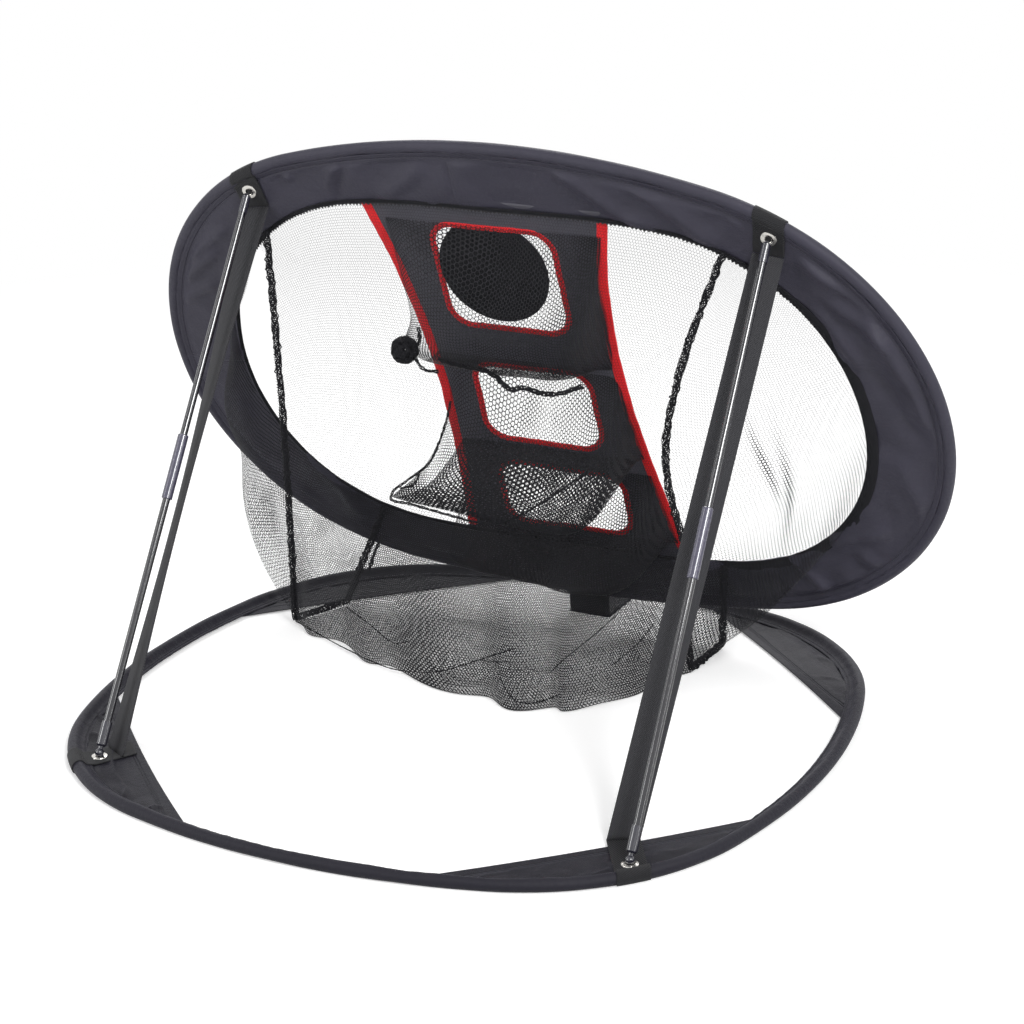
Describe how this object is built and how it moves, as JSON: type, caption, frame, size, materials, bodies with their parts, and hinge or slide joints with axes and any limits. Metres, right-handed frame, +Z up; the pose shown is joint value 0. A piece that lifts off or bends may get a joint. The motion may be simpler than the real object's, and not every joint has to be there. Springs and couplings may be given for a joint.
{
  "type": "golf chipping net",
  "caption": "Folding golf chipping net: a leaning oval target hoop with three windows and pocket nets, held up from a flat base ring by two sectional poles and two straps.",
  "frame": {"origin": "on the floor under the middle of the object's width, at the middle of the base ring, where Z is 0 on the ground", "axes": "+Z up; -Y towards the golfer, the open side of the target; +Y the back, where the poles stand; +X to the golfer's right"},
  "size_m": [0.708, 0.61, 0.4615],
  "materials": {
    "cloth": "navy-black polyester with a soft sheen",
    "webbing": "dark grey woven webbing",
    "binding": "bright red folded tape",
    "disc_cloth": "matt black felt-like cloth",
    "netting": "black knitted mesh",
    "pole_gloss": "glossy black lacquer on tube",
    "pole_plastic": "glossy black",
    "plated_eyelet": "bright nickel plate",
    "plated_ferrule": "plain brass tube",
    "spring_steel": "drawn spring steel",
    "shock_cord": "white elastic cord"
  },
  "bodies": {
    "base_frame": {"base_hoop_wire": "spring_steel", "base_wire_splice": "plated_ferrule", "base_sleeve": "cloth", "back_gusset_left": "cloth", "back_gusset_right": "cloth", "front_gusset_left": "cloth", "front_gusset_right": "cloth", "hinge_web": "cloth", "hinge_loop": "webbing", "foot_webbing_left": "webbing", "foot_webbing_right": "webbing", "foot_eyelet_left": "plated_eyelet", "foot_eyelet_right": "plated_eyelet", "strap_left": "webbing", "strap_right": "webbing"},
    "target_frame": {"target_hoop_wire": "spring_steel", "target_wire_splice": "plated_ferrule", "target_sleeve": "cloth", "border_band": "cloth", "target_panel": "cloth", "panel_binding_left": "binding", "panel_binding_right": "binding", "window_binding_top": "binding", "window_binding_middle": "binding", "window_binding_bottom": "binding", "disc_seam_tab": "disc_cloth", "catch_net_back": "netting", "catch_net_floor": "netting", "catch_net_gore_left": "netting", "catch_net_gore_right": "netting", "net_seam_left": "netting", "net_seam_right": "netting", "pocket_net_top": "netting", "pocket_net_middle": "netting", "pocket_net_bottom": "netting", "head_webbing_left": "webbing", "head_webbing_right": "webbing", "head_eyelet_left": "plated_eyelet", "head_eyelet_right": "plated_eyelet"},
    "disc": {"target_disc": "disc_cloth"},
    "pole_left": {"foot_tip_left": "pole_plastic", "lower_rod_left": "pole_gloss", "ferrule_left": "pole_gloss", "upper_rod_left": "pole_gloss", "head_tip_left": "pole_plastic", "shock_cord_left": "shock_cord"},
    "pole_right": {"foot_tip_right": "pole_plastic", "lower_rod_right": "pole_gloss", "ferrule_right": "pole_gloss", "upper_rod_right": "pole_gloss", "head_tip_right": "pole_plastic", "shock_cord_right": "shock_cord"}
  },
  "joints": [
    {"name": "target_fold", "type": "hinge", "parent": "base_frame", "child": "target_frame", "pos_m": [0, -0.224, 0.029], "axis": [1, 0, 0], "range_deg": [-54, 0], "deforming": ["strap_left", "strap_right", "catch_net_back", "catch_net_floor", "catch_net_gore_left", "catch_net_gore_right", "net_seam_left", "net_seam_right", "pocket_net_top", "pocket_net_middle", "pocket_net_bottom"]},
    {"name": "pole_left_swing", "type": "hinge", "parent": "base_frame", "child": "pole_left", "pos_m": [-0.226, 0.20691, 0.00634], "axis": [1, 0, 0], "range_deg": [-102.6, 0]},
    {"name": "pole_right_swing", "type": "hinge", "parent": "base_frame", "child": "pole_right", "pos_m": [0.226, 0.20691, 0.00634], "axis": [1, 0, 0], "range_deg": [-102.6, 0]},
    {"name": "disc_flap", "type": "hinge", "parent": "target_frame", "child": "disc", "pos_m": [0.015, -0.06519, 0.3852], "axis": [1, 0, 0], "range_deg": [-40, 32], "deforming": ["pocket_net_top"]}
  ],
  "couplings": [
    {"joint": "pole_left_swing", "follows": "target_fold", "ratio": 1.9},
    {"joint": "pole_right_swing", "follows": "target_fold", "ratio": 1.9}
  ]
}
